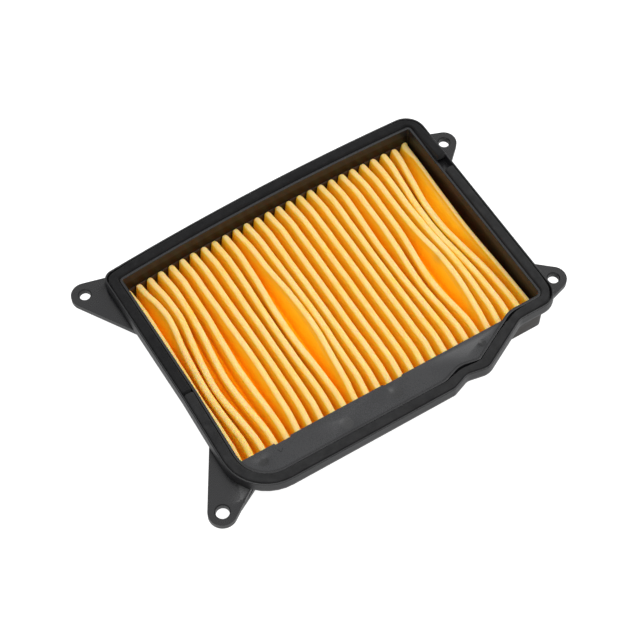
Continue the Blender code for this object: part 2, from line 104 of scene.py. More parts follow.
# The drawing frame's origin in the CAD's frame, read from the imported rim
RIM_LOW, RIM_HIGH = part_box("channel_rim")
DRAWING_ORIGIN = Vector((RIM_HIGH.x - RIGHT_X * MM, RIM_LOW.y - FRONT_Y * MM, RIM_HIGH.z))


# ---- plan outlines

def left_of(direction):
    """The direction a quarter turn to the left, in plan."""
    return Vector((-direction.y, direction.x))


def bow_y(x):
    """Y of the rim's bowed back side at a given X."""
    across = x - BOW_APEX[0]
    return BOW_APEX[1] - BOW_RADIUS + math.sqrt(BOW_RADIUS ** 2 - across ** 2)


def bow_points(start_x, end_x, inset=0.0):
    """Corners without rounding along the bowed side, between two places."""
    points = []
    for step in range(1, BOW_STEPS):
        x = start_x + (end_x - start_x) * step / BOW_STEPS
        points.append((Vector((x, bow_y(x) - inset)), 0.0, 0.0))
    return points


def left_x(y):
    """X of the rim's slightly hollow left side."""
    if y > LEFT_SEAM_Y:
        share = (y - LEFT_SEAM_Y) / (bow_y(LEFT_X_BACK) - LEFT_SEAM_Y)
        return LEFT_X_MIDDLE + (LEFT_X_BACK - LEFT_X_MIDDLE) * share
    share = (y - LEFT_SEAM_Y) / (FRONT_Y - LEFT_SEAM_Y)
    return LEFT_X_MIDDLE + (LEFT_X_FRONT - LEFT_X_MIDDLE) * share


def rim_corners():
    """Corners of the rim, anticlockwise: point, outer radius, radius at the inner lip."""
    return [
        (Vector((LEFT_X_BACK, bow_y(LEFT_X_BACK))), 6.0, 2.4),
        (Vector((LEFT_X_MIDDLE, LEFT_SEAM_Y)), 0.0, 0.0),
        (Vector((LEFT_X_FRONT, FRONT_Y)), 26.0, 19.0),
        (Vector((24.2, FRONT_Y)), 4.0, 11.0),
        (Vector((34.0, -73.6)), 6.0, 13.0),
        (Vector((46.0, -76.0)), 10.0, 3.0),
        (Vector((76.0, FRONT_Y_RIGHT)), 7.0, 14.0),
        (Vector((RIGHT_X, FRONT_Y_RIGHT)), 11.0, 4.0),
        (Vector((RIGHT_X, RIGHT_SEAM_Y)), 0.0, 0.0),
        (Vector((RIGHT_X, bow_y(RIGHT_X))), 12.0, 2.4),
    ] + bow_points(RIGHT_X, LEFT_X_BACK)


def box_corners():
    """Corners of the pleat box's outer face."""
    front = BOX_FRONT_Y - WALL
    back_left = left_x(71.0) + CHANNEL
    right = RIGHT_X - CHANNEL
    return [
        (Vector((back_left, bow_y(back_left) - CHANNEL)), 2.4, 2.4),
        (Vector((LEFT_X_MIDDLE + CHANNEL, LEFT_SEAM_Y)), 0.0, 0.0),
        (Vector((left_x(front) + CHANNEL, front)), 3.0, 3.0),
        (Vector((right, front)), 3.4, 3.4),
        (Vector((right, bow_y(right) - CHANNEL)), 2.4, 2.4),
    ] + bow_points(right, back_left, CHANNEL)


def fillet(point, before, after, radius, steps):
    """Points of the arc that rounds one corner between two unit directions."""
    turn = math.atan2(before.cross(after), before.dot(after))
    side = 1.0 if turn > 0.0 else -1.0
    centre = point + before * -radius * math.tan(abs(turn) / 2.0) + left_of(before) * side * radius
    spoke = -left_of(before) * side * radius
    points = []
    for step in range(steps + 1):
        cosine = math.cos(turn * step / steps)
        sine = math.sin(turn * step / steps)
        points.append(centre + Vector((spoke.x * cosine - spoke.y * sine,
                                       spoke.x * sine + spoke.y * cosine)))
    return points


def corner_radius(outer, at_lip, inset, convex):
    """Corner radius of one ring: two given radii, each carried on to the other insets."""
    if inset >= CHANNEL:
        radius = at_lip - (inset - CHANNEL) if convex else at_lip + (inset - CHANNEL)
    else:
        radius = outer - inset if convex else outer + inset
    return max(radius, SMALLEST_RADIUS)


def offset_outline(corners, inset, arc_steps=10):
    """Closed outline moved inwards. Every inset gives the same number of points."""
    points = []
    for index, (point, outer, at_lip) in enumerate(corners):
        before = (point - corners[index - 1][0]).normalized()
        after = (corners[(index + 1) % len(corners)][0] - point).normalized()
        inwards = left_of(before) + left_of(after)
        moved = point + inwards * inset / (1.0 + before.dot(after))
        if outer == 0.0:
            points.append(moved)
            continue
        convex = before.cross(after) > 0.0
        radius = corner_radius(outer, at_lip, inset, convex)
        points.extend(fillet(moved, before, after, radius, arc_steps))
    return points


def dense_outline(corners, inset):
    """The offset outline with its straight runs cut into short pieces."""
    base = offset_outline(corners, 0.0)
    moved = offset_outline(corners, inset)
    points = []
    for index in range(len(base)):
        beside = (index + 1) % len(base)
        pieces = max(1, round((base[beside] - base[index]).length / OUTLINE_STEP))
        for piece in range(pieces):
            points.append(moved[index].lerp(moved[beside], piece / pieces))
    return points


def round_section(corners, steps=4):
    """Section polygon whose corners (x, z, radius) are rounded with short arcs."""
    points = []
    for index, (x, z, radius) in enumerate(corners):
        here = Vector((x, z))
        before = (here - Vector(corners[index - 1][:2])).normalized()
        after = (Vector(corners[(index + 1) % len(corners)][:2]) - here).normalized()
        if radius == 0.0:
            points.append(here)
        else:
            points.extend(fillet(here, before, after, radius, steps))
    return points


# ---- mesh helpers

def make_piece(bm, name, material, nodes, smooth_angle=40.0, flat_faces=False):
    """Turn a bmesh in drawing millimetres into a piece that stands for some CAD nodes.

    With flat_faces the long faces shade flat and only their rounded edges shade round.
    """
    bmesh.ops.recalc_face_normals(bm, faces=bm.faces)
    for vert in bm.verts:
        vert.co = vert.co * MM + DRAWING_ORIGIN
    mesh = bpy.data.meshes.new(name)
    bm.to_mesh(mesh)
    bm.free()
    mesh.polygons.foreach_set("use_smooth", [True] * len(mesh.polygons))
    mesh.set_sharp_from_angle(angle=math.radians(smooth_angle))
    mesh.materials.append(material)
    piece = bpy.data.objects.new(name, mesh)
    bpy.context.scene.collection.objects.link(piece)
    if flat_faces:
        level = piece.modifiers.new("flat_faces", "WEIGHTED_NORMAL")
        level.keep_sharp = True
    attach(piece, "root")
    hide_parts(*nodes)
    return piece


def skin(bm, rings, closed):
    """Join rings of vertices with quads, and cap the two ends of an open run."""
    spans = len(rings) if closed else len(rings) - 1
    for row in range(spans):
        here = rings[row]
        there = rings[(row + 1) % len(rings)]
        for column in range(len(here)):
            beside = (column + 1) % len(here)
            bm.faces.new((here[column], here[beside], there[beside], there[column]))
    if not closed:
        bm.faces.new(rings[0])
        bm.faces.new(list(reversed(rings[-1])))


def sweep_loop(bm, corners, section):
    """Sweep a closed (inset, z) section right round a closed outline."""
    columns = []
    for inset, z in section:
        outline = dense_outline(corners, inset)
        columns.append([bm.verts.new((point.x, point.y, z)) for point in outline])
    skin(bm, [list(ring) for ring in zip(*columns)], closed=True)


def add_bevel(piece, width, segments=3, angle=40.0):
    """Round the sharp edges of a plate."""
    bevel = piece.modifiers.new("edge_rounding", "BEVEL")
    bevel.width = width * MM
    bevel.segments = segments
    bevel.limit_method = "ANGLE"
    bevel.angle_limit = math.radians(angle)
    bevel.harden_normals = True


def circle(centre, radius, steps=32):
    """Plan points of a circle."""
    return [Vector((centre[0] + math.cos(2.0 * math.pi * step / steps) * radius,
                    centre[1] + math.sin(2.0 * math.pi * step / steps) * radius))
            for step in range(steps)]


def ring_of(bm, loop, z):
    """Vertices of one plan loop at one height."""
    return [bm.verts.new((point.x, point.y, z)) for point in loop]


def wall_between(bm, upper, lower):
    """Quads between two vertex loops of the same length."""
    for index in range(len(upper)):
        bm.faces.new((upper[index - 1], upper[index], lower[index], lower[index - 1]))


MARK_TAPER = 0.85                   # a mark's floor is this much of its rim, so its sides slope


def plate_with_marks(bm, outline, holes, dimples, bottom, top):
    """A flat plate with through holes and with shallow marks (loop, depth) in its top.

    Each hole is a list of (loop, z) from the top face down to the underside.
    """
    outer = ring_of(bm, outline, top)
    under = ring_of(bm, outline, bottom)
    wall_between(bm, outer, under)
    top_loops = [outer]
    under_loops = [under]
    for levels in holes:
        rings = [ring_of(bm, loop, z) for loop, z in levels]
        for upper, lower in zip(rings, rings[1:]):
            wall_between(bm, upper, lower)
        top_loops.append(rings[0])
        under_loops.append(rings[-1])
    for loop, depth in dimples:
        upper = ring_of(bm, loop, top)
        centre = sum(loop, Vector((0.0, 0.0))) / len(loop)
        floor = ring_of(bm, [centre.lerp(point, MARK_TAPER) for point in loop], top - depth)
        wall_between(bm, upper, floor)
        bm.faces.new(floor)
        top_loops.append(upper)
    fill_between(bm, top_loops)
    fill_between(bm, under_loops)


def fill_between(bm, loops):
    """Fill the flat area between an outer loop and the loops inside it."""
    edges = []
    for loop in loops:
        for index, vert in enumerate(loop):
            edges.append(bm.edges.get((loop[index - 1], vert)))
    bmesh.ops.triangle_fill(bm, edges=edges, use_beauty=True)


# ---- materials

class Nodes:
    """A small helper that builds one node-based material."""

    def __init__(self, name):
        """Start from a plain material and its one shader."""
        self.material = bpy.data.materials.new(name)
        self.material.use_nodes = True
        self.tree = self.material.node_tree
        self.shader = self.tree.nodes["Principled BSDF"]
        source = self.tree.nodes.new("ShaderNodeTexCoord")
        self.coordinates = source.outputs["Object"]
        self.normals = source.outputs["Normal"]

    def link(self, source, target):
        """Join two sockets."""
        self.tree.links.new(source, target)

    def noise(self, size_mm, detail=3.0, roughness=0.5, stretch=None):
        """Noise whose features are about size_mm across, in object space."""
        vector = self.coordinates
        if stretch:
            mapping = self.tree.nodes.new("ShaderNodeMapping")
            mapping.inputs["Scale"].default_value = stretch
            self.link(vector, mapping.inputs["Vector"])
            vector = mapping.outputs["Vector"]
        texture = self.tree.nodes.new("ShaderNodeTexNoise")
        texture.inputs["Scale"].default_value = 1.0 / (size_mm * MM)
        texture.inputs["Detail"].default_value = detail
        texture.inputs["Roughness"].default_value = roughness
        self.link(vector, texture.inputs["Vector"])
        return texture.outputs["Fac"]

    def cells(self, size_mm):
        """Distance to the nearest cell centre, for foam pores."""
        texture = self.tree.nodes.new("ShaderNodeTexVoronoi")
        texture.inputs["Scale"].default_value = 1.0 / (size_mm * MM)
        self.link(self.coordinates, texture.inputs["Vector"])
        return texture.outputs["Distance"]

    def ramp(self, source, stops):
        """Colour ramp with (position, colour) stops."""
        node = self.tree.nodes.new("ShaderNodeValToRGB")
        elements = node.color_ramp.elements
        while len(elements) < len(stops):
            elements.new(0.5)
        for element, (position, colour) in zip(elements, stops):
            element.position = position
            element.color = (*colour, 1.0)
        self.link(source, node.inputs["Fac"])
        return node.outputs["Color"]

    def span(self, source, low, high, to_low=0.0, to_high=1.0):
        """Map a range of values onto another range, clamped."""
        node = self.tree.nodes.new("ShaderNodeMapRange")
        node.inputs["From Min"].default_value = low
        node.inputs["From Max"].default_value = high
        node.inputs["To Min"].default_value = to_low
        node.inputs["To Max"].default_value = to_high
        self.link(source, node.inputs["Value"])
        return node.outputs["Result"]

    def mix(self, share, first, second, blend="MIX"):
        """Mix two colours; share and colours may be sockets or values."""
        node = self.tree.nodes.new("ShaderNodeMix")
        node.data_type = "RGBA"
        node.blend_type = blend
        for key, value in ((0, share), (6, first), (7, second)):
            if isinstance(value, bpy.types.NodeSocket):
                self.link(value, node.inputs[key])
            else:
                node.inputs[key].default_value = value
        return node.outputs[2]

    def math(self, operation, first, second):
        """One maths node on two sockets or values."""
        node = self.tree.nodes.new("ShaderNodeMath")
        node.operation = operation
        for key, value in ((0, first), (1, second)):
            if isinstance(value, bpy.types.NodeSocket):
                self.link(value, node.inputs[key])
            else:
                node.inputs[key].default_value = value
        return node.outputs[0]

    def spot(self, x, y, radius_mm, edge_mm=0.6):
        """1 inside an upright cylinder at a place in the drawing frame, 0 outside it."""
        flat = self.tree.nodes.new("ShaderNodeVectorMath")
        flat.operation = "MULTIPLY"
        flat.inputs[1].default_value = (1.0, 1.0, 0.0)
        self.link(self.coordinates, flat.inputs[0])
        away = self.tree.nodes.new("ShaderNodeVectorMath")
        away.operation = "DISTANCE"
        away.inputs[1].default_value = (x * MM + DRAWING_ORIGIN.x, y * MM + DRAWING_ORIGIN.y, 0.0)
        self.link(flat.outputs["Vector"], away.inputs[0])
        return self.span(away.outputs["Value"], (radius_mm + edge_mm) * MM, radius_mm * MM)

    def facing(self, lean):
        """How far the surface faces up, leaning towards +X."""
        node = self.tree.nodes.new("ShaderNodeVectorMath")
        node.operation = "DOT_PRODUCT"
        node.inputs[1].default_value = (lean, 0.0, 1.0)
        self.link(self.normals, node.inputs[0])
        return node.outputs["Value"]

    def height(self):
        """Object-space Z."""
        node = self.tree.nodes.new("ShaderNodeSeparateXYZ")
        self.link(self.coordinates, node.inputs[0])
        return node.outputs["Z"]

    def bump(self, source, strength, distance_mm, under=None):
        """Bump node, on top of another one if given."""
        node = self.tree.nodes.new("ShaderNodeBump")
        node.inputs["Strength"].default_value = strength
        node.inputs["Distance"].default_value = distance_mm * MM
        self.link(source, node.inputs["Height"])
        if under is not None:
            self.link(under, node.inputs["Normal"])
        return node.outputs["Normal"]

    def set(self, **values):
        """Set shader sockets to a value or link them."""
        for key, value in values.items():
            socket = self.shader.inputs[key.replace("_", " ").title().replace("Ior", "IOR")]
            if isinstance(value, bpy.types.NodeSocket):
                self.link(value, socket)
            else:
                socket.default_value = value


SIDE_DULLNESS = 0.25                # the sides of the moulding are this much rougher than its top


def plastic_material(name, dark, light, spots=()):
    """Black moulded plastic: fine grain, faint flow marks, a little dust and pin marks."""
    nodes = Nodes(name)
    flow = nodes.noise(22.0, 2.0)
    grain = nodes.noise(0.35, 2.0)
    dust = nodes.noise(1.6, 6.0, 0.7)
    tone = nodes.ramp(flow, ((0.3, dark), (0.7, light)))
    dusty = nodes.mix(nodes.span(dust, 0.62, 0.8, 0.0, 0.25), tone, (0.06, 0.059, 0.056, 1.0))
    for x, y, radius, shade in spots:
        share = nodes.math("MULTIPLY", nodes.spot(x, y, radius), 0.7)
        dusty = nodes.mix(share, dusty, (shade, shade, shade, 1.0))
    gloss = nodes.math("ADD", nodes.span(flow, 0.3, 0.7, 0.20, 0.27), nodes.span(grain, 0.3, 0.7, 0.0, 0.08))
    gloss = nodes.math("ADD", gloss, nodes.span(nodes.facing(0.0), 0.2, 0.8, SIDE_DULLNESS, 0.0))
    nodes.set(base_color=dusty, roughness=gloss, normal=nodes.bump(grain, 0.12, 0.05))
    nodes.shader.inputs["Specular IOR Level"].default_value = 0.4
    return nodes.material


def paper_material():
    """Resin-treated orange filter paper with painted light: a painted cream highlight on the crests, where
    they stand high and face up and towards +X (the key light's side), and painted shade that deepens the
    orange towards the valleys.
    """
    nodes = Nodes("pleated_filter_paper")
    low = (VALLEY_BOTTOM_Z * MM) + DRAWING_ORIGIN.z
    high = (CREST_TOP_Z * MM) + DRAWING_ORIGIN.z
    patches = nodes.noise(14.0, 3.0)
    fibre = nodes.noise(0.9, 5.0, 0.65, stretch=(1.0, 0.18, 1.0))
    fine = nodes.noise(0.22, 3.0, 0.6)
    # painted shade: the colour runs from cream at crest height to deep orange at the valley floor
    level = nodes.span(nodes.height(), low, high)
    level = nodes.math("ADD", level, nodes.span(patches, 0.3, 0.7, -0.05, 0.05))
    level = nodes.math("ADD", level, nodes.span(fibre, 0.3, 0.7, -0.04, 0.04))
    # painted highlight: only surfaces that face up and a little towards +X keep the cream; steep flanks turn
    # orange
    level = nodes.math("MINIMUM", level, nodes.span(nodes.facing(0.1), 0.15, 0.80, 0.72, 1.0))
    colour = nodes.ramp(level, (
        (0.00, (0.99, 0.42, 0.001)),
        (0.40, (0.99, 0.46, 0.003)),
        (0.70, (0.99, 0.52, 0.014)),
        (0.88, (0.94, 0.55, 0.080)),
        (0.97, (0.88, 0.58, 0.205)),
        (1.00, (0.88, 0.59, 0.235)),
    ))
    stain = nodes.math("MULTIPLY", nodes.spot(65.5, 1.0, 1.0, 4.5), nodes.span(patches, 0.4, 0.6, 0.1, 0.35))
    colour = nodes.mix(stain, colour, (0.45, 0.36, 0.06, 1.0))
    colour = nodes.mix(0.35, colour, nodes.ramp(fibre, ((0.3, (0.82, 0.80, 0.76)), (0.7, (1.0, 1.0, 1.0)))),
                       "MULTIPLY")
    normal = nodes.bump(fine, 0.25, 0.05, nodes.bump(fibre, 0.35, 0.08))
    nodes.set(base_color=colour, roughness=0.85, normal=normal)
    nodes.shader.inputs["Specular IOR Level"].default_value = 0.1
    nodes.shader.inputs["Subsurface Weight"].default_value = 0.5
    nodes.shader.inputs["Subsurface Radius"].default_value = (1.0, 0.35, 0.08)
    nodes.shader.inputs["Subsurface Scale"].default_value = 0.002
    return nodes.material


def foam_material(name, dark, light):
    """Closed-cell seal foam: matte, with fine pores and a dusty surface."""
    nodes = Nodes(name)
    pores = nodes.cells(0.45)
    clouds = nodes.noise(5.0, 4.0, 0.6)
    specks = nodes.noise(0.7, 4.0, 0.7)
    tone = nodes.ramp(clouds, ((0.3, dark), (0.7, light)))
    tone = nodes.mix(nodes.span(specks, 0.6, 0.8, 0.0, 0.35), tone, (0.06, 0.06, 0.058, 1.0))
    normal = nodes.bump(pores, 0.5, 0.12, nodes.bump(clouds, 0.2, 0.3))
    nodes.set(base_color=tone, roughness=0.92, normal=normal)
    nodes.shader.inputs["Specular IOR Level"].default_value = 0.2
    nodes.shader.inputs["Sheen Weight"].default_value = 0.05
    nodes.shader.inputs["Sheen Roughness"].default_value = 0.6
    return nodes.material


def glue_material():
    """Dark amber hot-melt glue with small bubbles."""
    nodes = Nodes("amber_glue")
    clouds = nodes.noise(3.0, 4.0)
    bubbles = nodes.cells(1.3)
    tone = nodes.ramp(clouds, ((0.3, (0.012, 0.006, 0.003)), (0.7, (0.035, 0.017, 0.006))))
    nodes.set(base_color=tone, roughness=nodes.span(clouds, 0.3, 0.7, 0.25, 0.45),
              normal=nodes.bump(bubbles, 0.3, 0.15))
    nodes.shader.inputs["Subsurface Weight"].default_value = 0.2
    nodes.shader.inputs["Subsurface Radius"].default_value = (0.002, 0.001, 0.0005)
    nodes.shader.inputs["Subsurface Scale"].default_value = 1.0
    return nodes.material


# ---- moulded frame

def build_rim(material):
    """The U-shaped channel: rounded lips, drafted walls and a small foot round the outside."""
    section = round_section((
        (0.0, RIM_BOTTOM_Z, 0.35),
        (-0.1, -4.6, 0.5),
        (0.35, 0.0, 0.42),
        (LIP, 0.0, 0.3),
        (LIP + 0.1, -GROOVE_DEPTH, 0.4),
        (CHANNEL - 0.1, -GROOVE_DEPTH, 0.4),
        (CHANNEL, -LIP_DROP, 0.35),
        (OPENING_INSET, -LIP_DROP, 0.35),
        (OPENING_INSET, RIM_BOTTOM_Z, 0.0),
    ))
    bm = bmesh.new()
    sweep_loop(bm, rim_corners(), section)
    return make_piece(bm, "rim_moulding", material, ("channel_rim",), flat_faces=True)


def shelf_outline():
    """The inner lip's curve, closed by the shelf's straight back edge with its two notches."""
    edge_y = BOX_FRONT_Y
    curve = [point for point in dense_outline(rim_corners(), OPENING_INSET - 0.3)
             if point.y < edge_y and point.x < SHELF_END_X]
    curve.sort(key=lambda point: point.x)
    back = [Vector((curve[-1].x + 0.6, edge_y))]
    for high_x, low_x, depth in ((5.5, -6.0, 0.6), (-60.5, -70.0, 0.9)):
        back += [Vector((high_x, edge_y)), Vector((high_x - 0.4, edge_y - depth)),
                 Vector((low_x + 0.4, edge_y - depth)), Vector((low_x, edge_y))]
    back.append(Vector((curve[0].x - 0.2, edge_y)))
    return curve + back


# Round pin marks on the shelf: x, y, radius, shade
SHELF_SPOTS = (
    (-79.6, -60.6, 2.5, 0.010),
    (51.2, -60.8, 2.0, 0.006),
    (-2.3, -62.2, 3.2, 0.018),
    (-33.0, -64.0, 3.2, 0.032),
)


SHELF_MARK_DEPTH = 0.15
TICK_HEIGHT = 0.3                   # the small triangle stands proud of the shelf


def build_shelf(material):
    """Flat shelf with ejector-pin marks, and the apron under its back edge."""
    marks = [(circle((x, y), radius), SHELF_MARK_DEPTH) for x, y, radius, _ in SHELF_SPOTS]
    tick = [Vector((-70.4, -58.6)), Vector((-67.2, -59.2)), Vector((-69.3, -61.0))]
    marks.append((tick, -TICK_HEIGHT))
    bm = bmesh.new()
    plate_with_marks(bm, shelf_outline(), [], marks, SHELF_TOP_Z - SHELF_THICKNESS, SHELF_TOP_Z)
    left = left_x(BOX_FRONT_Y) + OPENING_INSET
    apron = [Vector((left, BOX_FRONT_Y - WALL)), Vector((SHELF_END_X, BOX_FRONT_Y - WALL)),
             Vector((SHELF_END_X, BOX_FRONT_Y - APRON_SETBACK)),
             Vector((left, BOX_FRONT_Y - APRON_SETBACK))]
    plate_with_marks(bm, apron, [], [], RIM_BOTTOM_Z, SHELF_TOP_Z - SHELF_THICKNESS)
    return make_piece(bm, "shelf_moulding", material, ("front_shelf",))


def inner_wall_material():
    """The same black plastic inside the pleat box: duller, and darker and browner, as painted shade inside
    the box and a painted reflection of the orange paper.
    """
    nodes = Nodes("inner_plastic_painted_shade_and_reflection")
    tint_and_gloss_patches = nodes.noise(9.0, 4.0, 0.6)
    grain = nodes.noise(0.35, 2.0)
    # painted shade and painted reflection: patches run from near black to dark brown
    tone = nodes.ramp(tint_and_gloss_patches, ((0.35, (0.004, 0.003, 0.002)), (0.7, (0.014, 0.008, 0.004))))
    nodes.set(base_color=tone, roughness=nodes.span(tint_and_gloss_patches, 0.3, 0.7, 0.44, 0.56),
              normal=nodes.bump(grain, 0.12, 0.05))
    nodes.shader.inputs["Specular IOR Level"].default_value = 0.25
    return nodes.material


BAR_PLACES = (("left", -29.0), ("right", 33.0))


def build_box(material):
    """The four box walls in one run, with the inner ledge and two clean-side bars."""
    section = round_section((
        (0.0, RIM_BOTTOM_Z, 0.0),
        (0.1, BOX_BOTTOM_Z, 0.5),
        (LEDGE_WIDTH, BOX_BOTTOM_Z, 0.4),
        (LEDGE_WIDTH, BOX_BOTTOM_Z + LEDGE_DEPTH, 0.4),
        (WALL, BOX_BOTTOM_Z + LEDGE_DEPTH, 0.3),
        (WALL, RIM_BOTTOM_Z, 0.0),
    ))
    bm = bmesh.new()
    sweep_loop(bm, box_corners(), section)
    walls = ("box_wall_back", "box_wall_left", "box_wall_right", "box_wall_front")
    make_piece(bm, "pleat_box_moulding", material, walls, flat_faces=True)
    for side, middle in BAR_PLACES:
        build_bar(side, middle, material)


def build_bar(side, middle, material):
    """One clean-side bar, flared where it meets the ledges."""
    front = BOX_FRONT_Y - WALL + LEDGE_WIDTH - 0.4
    back = bow_y(middle) - CHANNEL - LEDGE_WIDTH + 0.4
    outline = []
    for y, half in ((front, 3.4), (front + 1.2, 2.2), (front + 3.6, 1.5),
                    (back - 3.6, 1.5), (back - 1.2, 2.2), (back, 3.4)):
        outline.append(Vector((middle + half, y)))
    outline += [Vector((2.0 * middle - point.x, point.y)) for point in reversed(outline)]
    bm = bmesh.new()
    plate_with_marks(bm, outline, [], [], BOX_BOTTOM_Z + 0.1, BOX_BOTTOM_Z + LEDGE_DEPTH - 0.1)
    bar = make_piece(bm, "clean_side_bar_" + side, material, ("support_bar_" + side,))
    add_bevel(bar, 0.3)


def tangent_point(point, centre, radius, side):
    """Where a line from a point touches a circle, on the chosen side (1 left, -1 right)."""
    towards = centre - point
    angle = math.atan2(-towards.y, -towards.x) + side * math.acos(radius / towards.length)
    return centre + Vector((math.cos(angle), math.sin(angle))) * radius


def ear_outline(root, centre, radius, steps=28):
    """Root points joined to the round tip by two tangent lines, anticlockwise."""
    start = tangent_point(root[-1], centre, radius, 1.0)
    end = tangent_point(root[0], centre, radius, -1.0)
    first = math.atan2(start.y - centre.y, start.x - centre.x)
    last = math.atan2(end.y - centre.y, end.x - centre.x)
    while last < first:
        last += 2.0 * math.pi
    tip = [centre + Vector((math.cos(angle), math.sin(angle))) * radius
           for angle in (first + (last - first) * step / steps for step in range(steps + 1))]
    return list(root) + tip


LONG_EAR_RADIUS = 7.3                # ears with a larger tip are the long ones, with a pin mark
PIN_MARK_PLACE = 3.4                # from the ear's round tip to the middle of the mark
PIN_MARK_RADIUS = 1.7
PIN_MARK_DEPTH = 0.12


def build_ear(name, centre, radius, hole_radius, root, material):
    """A screw ear with rounded edges, a chamfered hole and, on a long ear, a pin mark on its top."""
    middle = Vector(centre)
    outline = ear_outline([Vector(point) for point in root], middle, radius)
    inwards = Vector((root[0][0] - centre[0], 0.0)).normalized()
    pin = middle + inwards * (radius + PIN_MARK_PLACE)
    mark = (circle(pin, PIN_MARK_RADIUS, 20), PIN_MARK_DEPTH)
    marks = [mark] if radius > LONG_EAR_RADIUS else []
    hole = [(circle(middle, hole_radius + HOLE_CHAMFER, 40), EAR_TOP_Z),
            (circle(middle, hole_radius, 40), EAR_TOP_Z - HOLE_CHAMFER),
            (circle(middle, hole_radius - HOLE_DRAFT, 40), EAR_BOTTOM_Z)]
    bm = bmesh.new()
    plate_with_marks(bm, outline, [hole], marks, EAR_BOTTOM_Z, EAR_TOP_Z)
    ear = make_piece(bm, "screw_" + name, material, (name,))
    add_bevel(ear, 0.25, angle=60.0)
    return ear


def build_ears(material):
    """Two long ears on the left side and two short ones on the right."""
    build_ear("ear_back_left", (-109.3, 75.4), 7.4, 3.05, ((-92.0, 33.6), (-92.0, 78.6)), material)
    build_ear("ear_front_left", (-109.3, -71.6), 7.5, 3.6,
              ((-86.0, -64.7), (-92.0, -56.5), (-92.0, -28.1)), material)
    build_ear("ear_back_right", (108.4, 60.4), 7.1, 3.05, ((96.2, 72.5), (96.2, 39.3)), material)
    build_ear("ear_front_right", (108.4, -45.0), 7.2, 3.05, ((96.2, -24.7), (96.2, -56.0)), material)


def build_gusset(material):
    """Rib under the front left ear, deepest where it meets the frame."""
    inner = Vector((-87.6, -65.4))
    outer = Vector((-100.5, -73.6))
    half = left_of((outer - inner).normalized()) * 0.8
    top = EAR_BOTTOM_Z + 0.05
    profile = ((inner, top), (outer, top), (outer, top - 0.8), (inner, top - 4.5))
    bm = bmesh.new()
    rings = []
    for side in (-1.0, 1.0):
        rings.append([bm.verts.new((point.x + half.x * side, point.y + half.y * side, z))
                      for point, z in profile])
    skin(bm, rings, closed=False)
    rib = make_piece(bm, "ear_rib", material, ("ear_gusset_front_left",))
    add_bevel(rib, 0.2, 2)


# ---- pleated paper

PACK_BOW = 1.3                      # the whole pack bulges this far to the right
# Wide valleys where two pleats have been pressed apart: the pleat on the valley's left, y of the
# widest place, half length, push on the left and on the right pleat, and how many pleats crowd
SPREADS = (
    (0, 42.0, 16.0, 0.0, 2.5, 1.4),
    (2, -8.0, 28.0, 2.5, 0.0, 1.5),
    (3, -8.0, 28.0, 2.5, 0.0, 1.5),
    (4, -5.0, 30.0, 2.0, 1.0, 1.5),
    (9, 5.0, 35.0, 2.5, 4.0, 1.0),
    (19, 20.0, 30.0, 1.5, 0.0, 1.0),
    (21, -8.0, 25.0, 3.5, 3.0, 1.6),
    (25, 24.0, 38.0, 6.5, 0.0, 1.6),
)
SLOW_WANDER = 0.25                  # small random wandering of each pleat, slow and quick
QUICK_WANDER = 0.10
LAST_WANDER = 0.15
END_EASE = 16.0                     # the glued ends hold the pleats straight over this length
VALLEY_FOLLOWS = 0.45               # share of the crests' shift that the valley between them takes
FOLD_SQUARENESS = 0.78              # 1 gives round folds, less gives flatter ones
FOLD_RISE = 1.6                     # height of a fold's rounding
LAST_EDGE_X = 92.6                  # the last crest is a sharp edge beside the right wall
LAST_HALF_WIDTH = 1.1
LAST_TIP_SWELL = 0.8                # its back end widens to a blunt fingertip over this length
LAST_TIP_LENGTH = 14.0
LAST_HOOK = 0.8                     # both its ends bend this far to the right
LAST_CREASE = 0.6                   # depth of the soft creases in its wide flank
FLANK_BULGE = 0.9                   # below 1 the flank bulges upwards, above 1 it sags
LAST_HOLLOW = 1.8                   # the last crest sags this far to the left in the middle
LAST_HOLLOW_Y = 12.0
LAST_HOLLOW_SPREAD = 40.0
HOOK_LENGTH = 3.0                   # its torn ends curl up and outwards
TIP_LENGTH = 2.6                    # the back ends of the pleats are rounded like fingertips
FRONT_TIP_LENGTH = 1.0
TIP_PINCH = 0.45                    # width left at the very back end, and at the front end
FRONT_PINCH = 0.8
LAST_PINCH = 0.75                   # the same for the last pleat's blunt back end
TIP_DIP = 1.2                       # how far the crests dip at the very back end, and at the front
FRONT_DIP = 0.4
LAST_FRONT_LIFT = 0.6               # the last pleat's front end curls up instead
CREST_UNEVENNESS = 0.35             # the crests rise and fall by up to this much
FLANK_STEPS = 8


def smooth_share(value):
    """Smooth step from 0 to 1."""
    value = min(1.0, max(0.0, value))
    return value * value * (3.0 - 2.0 * value)


def paper_back_y(x):
    """Y of the paper's back edge, just clear of the back wall."""
    return bow_y(x) - OPENING_INSET - 0.35


def crest_shift(pleat, y, back_y):
    """How far one pleat's crest stands to the right of its even place."""
    if pleat == PLEATS - 1:
        return LAST_WANDER * noise.noise(Vector((5.0, y * 0.06, 1.0)))
    shift = PACK_BOW
    for valley, centre_y, length, left, right, crowd in SPREADS:
        push = -left if pleat <= valley else right
        away = (valley - pleat if pleat <= valley else pleat - valley - 1) / crowd
        along = (y - centre_y) / length
        shift += push * math.exp(-away * away - along * along)
    shift += SLOW_WANDER * noise.noise(Vector((pleat * 1.7, y * 0.06, 3.0)))
    shift += QUICK_WANDER * noise.noise(Vector((pleat * 3.1, y * 0.22, 6.0)))
    ease = smooth_share((back_y - y) / END_EASE) * smooth_share((y - PAPER_FRONT_Y) / END_EASE)
    return shift * ease


def last_half_width(y, back_y):
    """Half width of the last crest: a fingertip at the back, a thin edge further on."""
    return LAST_HALF_WIDTH + LAST_TIP_SWELL * smooth_share(1.0 - (back_y - y) / LAST_TIP_LENGTH)


